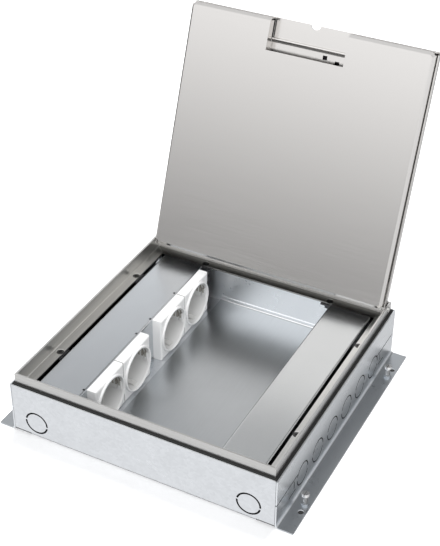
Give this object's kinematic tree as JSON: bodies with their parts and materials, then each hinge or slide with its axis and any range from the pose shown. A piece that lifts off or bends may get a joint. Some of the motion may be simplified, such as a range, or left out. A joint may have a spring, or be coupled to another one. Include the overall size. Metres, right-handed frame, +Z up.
{
  "type": "floor socket box",
  "caption": "Recessed steel floor box with a hinged stainless lid, a cable flap, a height-adjustable frame and round socket modules beside an open cable well.",
  "frame": {"origin": "centre of the casing's underside, the face that stands on the sub-floor", "axes": "+Z up towards the lid, +Y back towards the lid hinge, +X to the right across the box seen from the free edge"},
  "size_m": [0.28, 0.3231, 0.2771],
  "materials": {
    "galvanised_steel": "hot-dip galvanised sheet, fine spangle, semi-matte",
    "stainless_steel": "brushed stainless, fine straight grain",
    "white_moulding": "white moulded plastic, satin gloss",
    "grey_moulding": "light grey moulded plastic",
    "brass": "plain brass",
    "zinc_plated_steel": "bright zinc plated",
    "spring_steel": "nickel plated spring strip",
    "black_rubber": "black rubber strip"
  },
  "bodies": {
    "casing": {"base_tray": "galvanised_steel", "side_wall_left": "galvanised_steel", "side_wall_right": "galvanised_steel", "well_floor": "galvanised_steel", "socket_cover": "galvanised_steel", "blank_cover": "galvanised_steel", "cover_rivets": "galvanised_steel", "frame_brackets": "galvanised_steel", "bracket_nuts": "zinc_plated_steel", "earth_stud": "brass", "earth_nut": "brass", "live_contacts": "brass", "terminal_screws": "zinc_plated_steel", "socket_shell_1": "white_moulding", "socket_housing_1": "grey_moulding", "earth_clip_1": "spring_steel", "socket_shell_2": "white_moulding", "socket_housing_2": "grey_moulding", "earth_clip_2": "spring_steel", "socket_shell_3": "white_moulding", "socket_housing_3": "grey_moulding", "earth_clip_3": "spring_steel", "socket_shell_4": "white_moulding", "socket_housing_4": "grey_moulding", "earth_clip_4": "spring_steel"},
    "frame": {"frame_bar_right": "stainless_steel", "frame_bar_back": "stainless_steel", "frame_bar_left": "stainless_steel", "frame_bar_front": "stainless_steel", "frame_seal": "black_rubber", "frame_screws": "zinc_plated_steel", "hinge_pins": "stainless_steel"},
    "lid": {"lid_cover": "stainless_steel", "lid_pan": "stainless_steel", "lid_stiffeners": "galvanised_steel", "lid_hinge_arm_left": "stainless_steel", "lid_hinge_arm_right": "stainless_steel", "outlet_rail": "stainless_steel", "flap_pin": "stainless_steel"},
    "flap": {"outlet_flap": "stainless_steel"},
    "leveller_1": {"levelling_screw_1": "zinc_plated_steel"},
    "leveller_2": {"levelling_screw_2": "zinc_plated_steel"},
    "leveller_3": {"levelling_screw_3": "zinc_plated_steel"},
    "leveller_4": {"levelling_screw_4": "zinc_plated_steel"}
  },
  "joints": [
    {"name": "frame_lift", "type": "slide", "parent": "casing", "child": "frame", "axis": [0, 0, 1], "range_m": [0, 0.012]},
    {"name": "lid_hinge", "type": "hinge", "parent": "frame", "child": "lid", "pos_m": [0, 0.114, 0.0565], "axis": [1, 0, 0], "range_deg": [0, 110.3]},
    {"name": "flap_hinge", "type": "hinge", "parent": "lid", "child": "flap", "pos_m": [0, 0.18902, 0.25671], "axis": [-1, 0, 0], "range_deg": [0, 90]},
    {"name": "leveller_1_turn_down", "type": "slide", "parent": "casing", "child": "leveller_1", "axis": [0, 0, 1], "range_m": [-0.007, 0]},
    {"name": "leveller_2_turn_down", "type": "slide", "parent": "casing", "child": "leveller_2", "axis": [0, 0, 1], "range_m": [-0.007, 0]},
    {"name": "leveller_3_turn_down", "type": "slide", "parent": "casing", "child": "leveller_3", "axis": [0, 0, 1], "range_m": [-0.007, 0]},
    {"name": "leveller_4_turn_down", "type": "slide", "parent": "casing", "child": "leveller_4", "axis": [0, 0, 1], "range_m": [-0.007, 0]}
  ]
}
